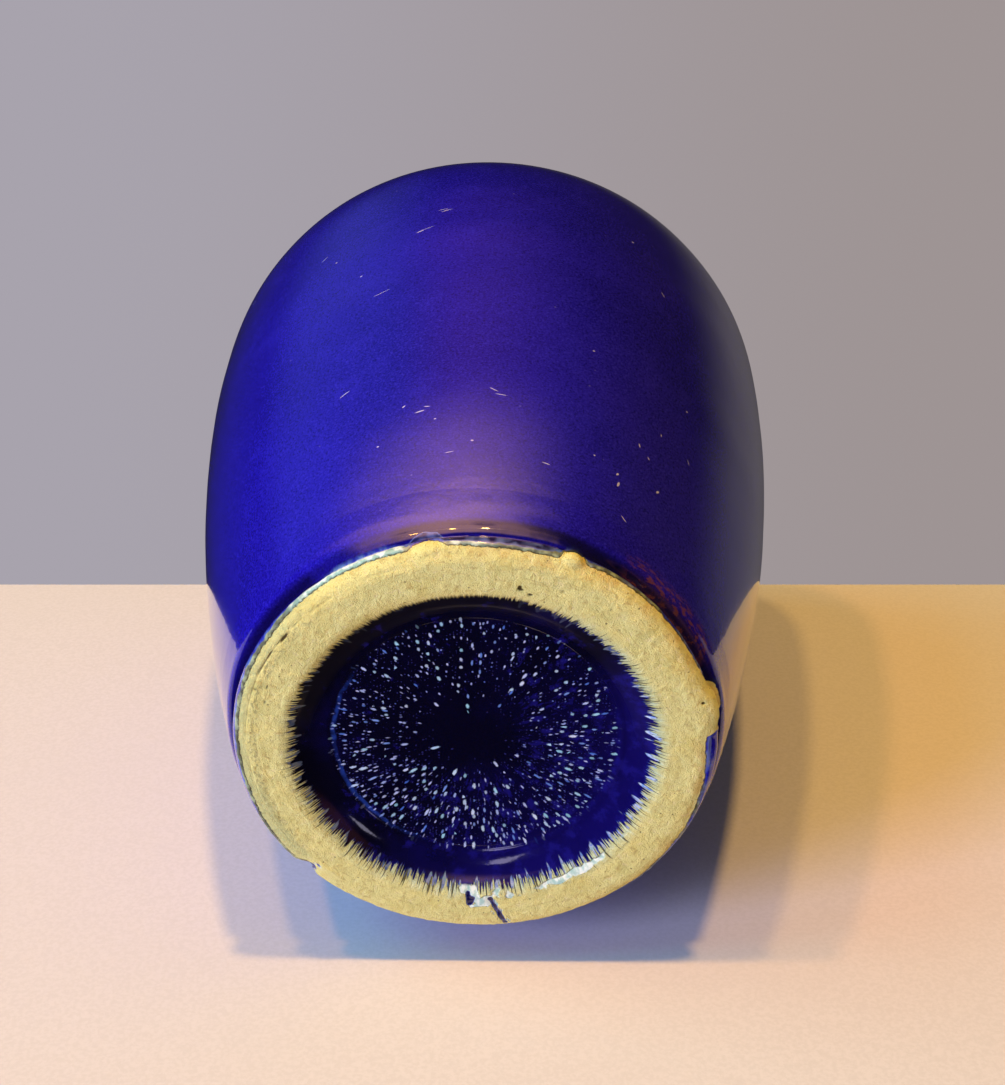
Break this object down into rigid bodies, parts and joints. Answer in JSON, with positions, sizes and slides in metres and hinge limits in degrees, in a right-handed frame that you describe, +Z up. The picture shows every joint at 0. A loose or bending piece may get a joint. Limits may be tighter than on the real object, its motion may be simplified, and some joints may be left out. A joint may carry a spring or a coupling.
{
  "type": "stoneware jar",
  "caption": "Hollow ovoid stoneware jar with a high shoulder, short collar with a rolled lip, glossy cobalt glaze and a broad unglazed foot ring around a glazed recess.",
  "frame": {"origin": "centre of the foot ring's bearing face, where the jar stands", "axes": "+Z up along the jar's axis, from the foot to the mouth"},
  "size_m": [0.153, 0.153, 0.2],
  "materials": {
    "cobalt_glaze": "gloss"
  },
  "bodies": {
    "root": {"jar": "cobalt_glaze"}
  },
  "joints": []
}
